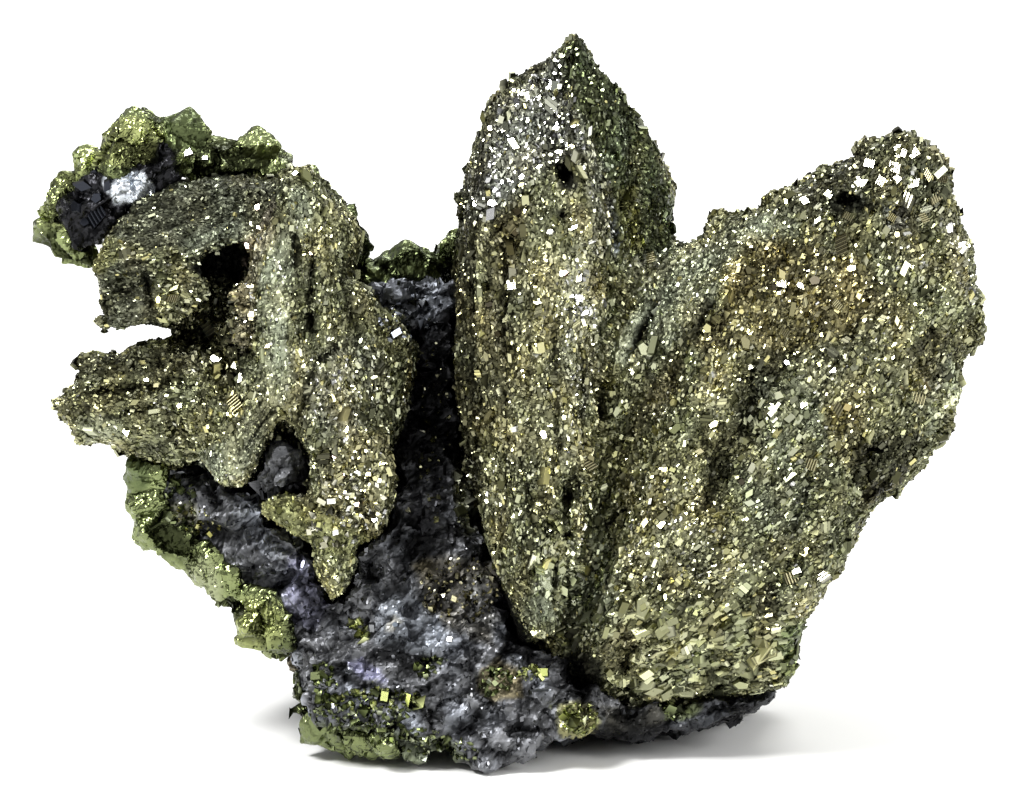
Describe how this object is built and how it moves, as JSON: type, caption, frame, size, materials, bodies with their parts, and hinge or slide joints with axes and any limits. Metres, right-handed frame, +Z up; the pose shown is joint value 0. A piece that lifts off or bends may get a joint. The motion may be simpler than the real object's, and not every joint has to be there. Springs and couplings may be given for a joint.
{
  "type": "pyrite pseudomorph mineral specimen",
  "caption": "Natural mineral specimen: fans of bladed crystals replaced by pyrite, with chalcopyrite rims on dark sulphide rock, standing on its flat underside.",
  "frame": {"origin": "under the middle of the specimen's box, on the plane that it rests on", "axes": "+X to the right of a person who faces the crystal side, +Y away from that person, +Z up"},
  "size_m": [0.0954, 0.0406, 0.0737],
  "materials": {
    "pyrite": "sparkling pale brassy crust of fine crystals",
    "chalcopyrite": "shiny greenish brass crystal faces",
    "sulphide_rock": "dark broken sulphide with a dull metallic sheen",
    "galena": "bright lead-grey cleavage faces"
  },
  "bodies": {
    "root": {"centre_and_right_blades": "pyrite", "left_blades": "pyrite", "sulphide_rock": "sulphide_rock", "shelf_galena": "galena", "shelf_chalcopyrite": "chalcopyrite", "rear_chalcopyrite": "chalcopyrite", "gap_chalcopyrite": "chalcopyrite", "edge_chalcopyrite": "chalcopyrite", "foot_chalcopyrite": "chalcopyrite"}
  },
  "joints": []
}
